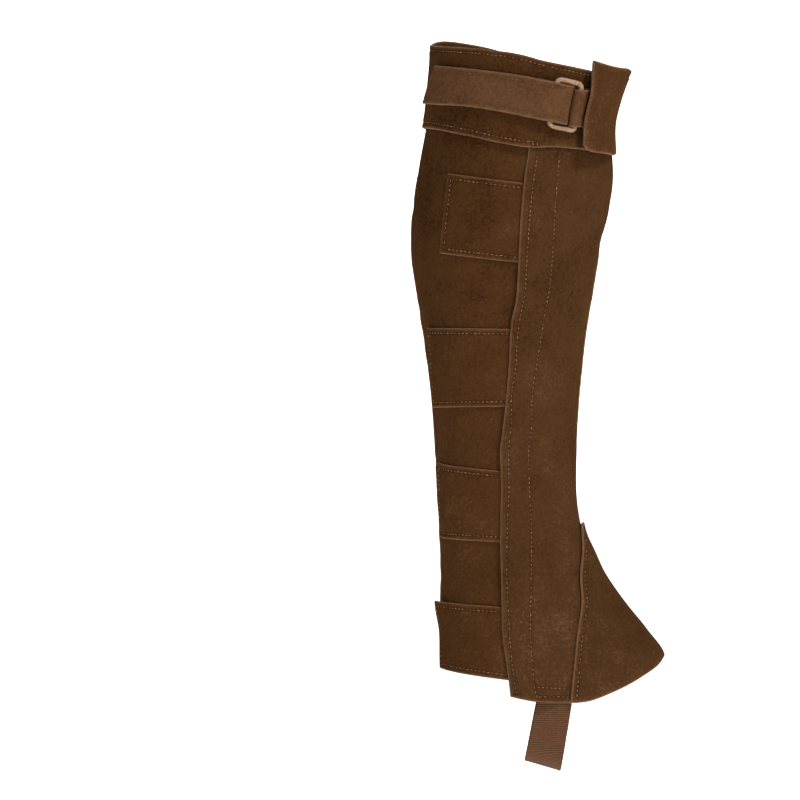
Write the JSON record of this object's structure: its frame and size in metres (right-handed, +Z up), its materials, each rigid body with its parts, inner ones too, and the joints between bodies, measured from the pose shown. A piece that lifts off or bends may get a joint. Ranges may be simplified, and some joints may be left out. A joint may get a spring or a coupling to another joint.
{
  "type": "suede half chap",
  "caption": "Right-leg suede half chap, filled out as worn: flap closure with stitched tabs, knee band with a strap through a loop, flared instep and a webbing foot strap.",
  "frame": {"origin": "middle of the leg hollow at the widest part of the calf", "axes": "+Z up the leg, +X towards the toe, -Y is the outer side of the leg, where the flap closes"},
  "size_m": [0.1623, 0.1256, 0.4671],
  "materials": {
    "suede": "napped dark brown suede",
    "strap_suede": "napped brown suede, worn a little lighter",
    "raw_edge": "raw cut edge, matt",
    "webbing": "ribbed woven elastic webbing",
    "loop": "satin tan coating"
  },
  "bodies": {
    "root": {"outer_back_panel": "suede", "outer_front_panel": "suede", "inner_panel": "suede", "instep_piece": "suede", "knee_band": "suede", "tab_1": "suede", "tab_2": "suede", "tab_3": "suede", "tab_4": "suede", "wear_patch": "suede", "back_welt": "raw_edge", "front_welt": "raw_edge", "strap": "strap_suede", "ring_keeper": "strap_suede", "ring": "loop", "foot_strap": "webbing"}
  },
  "joints": []
}
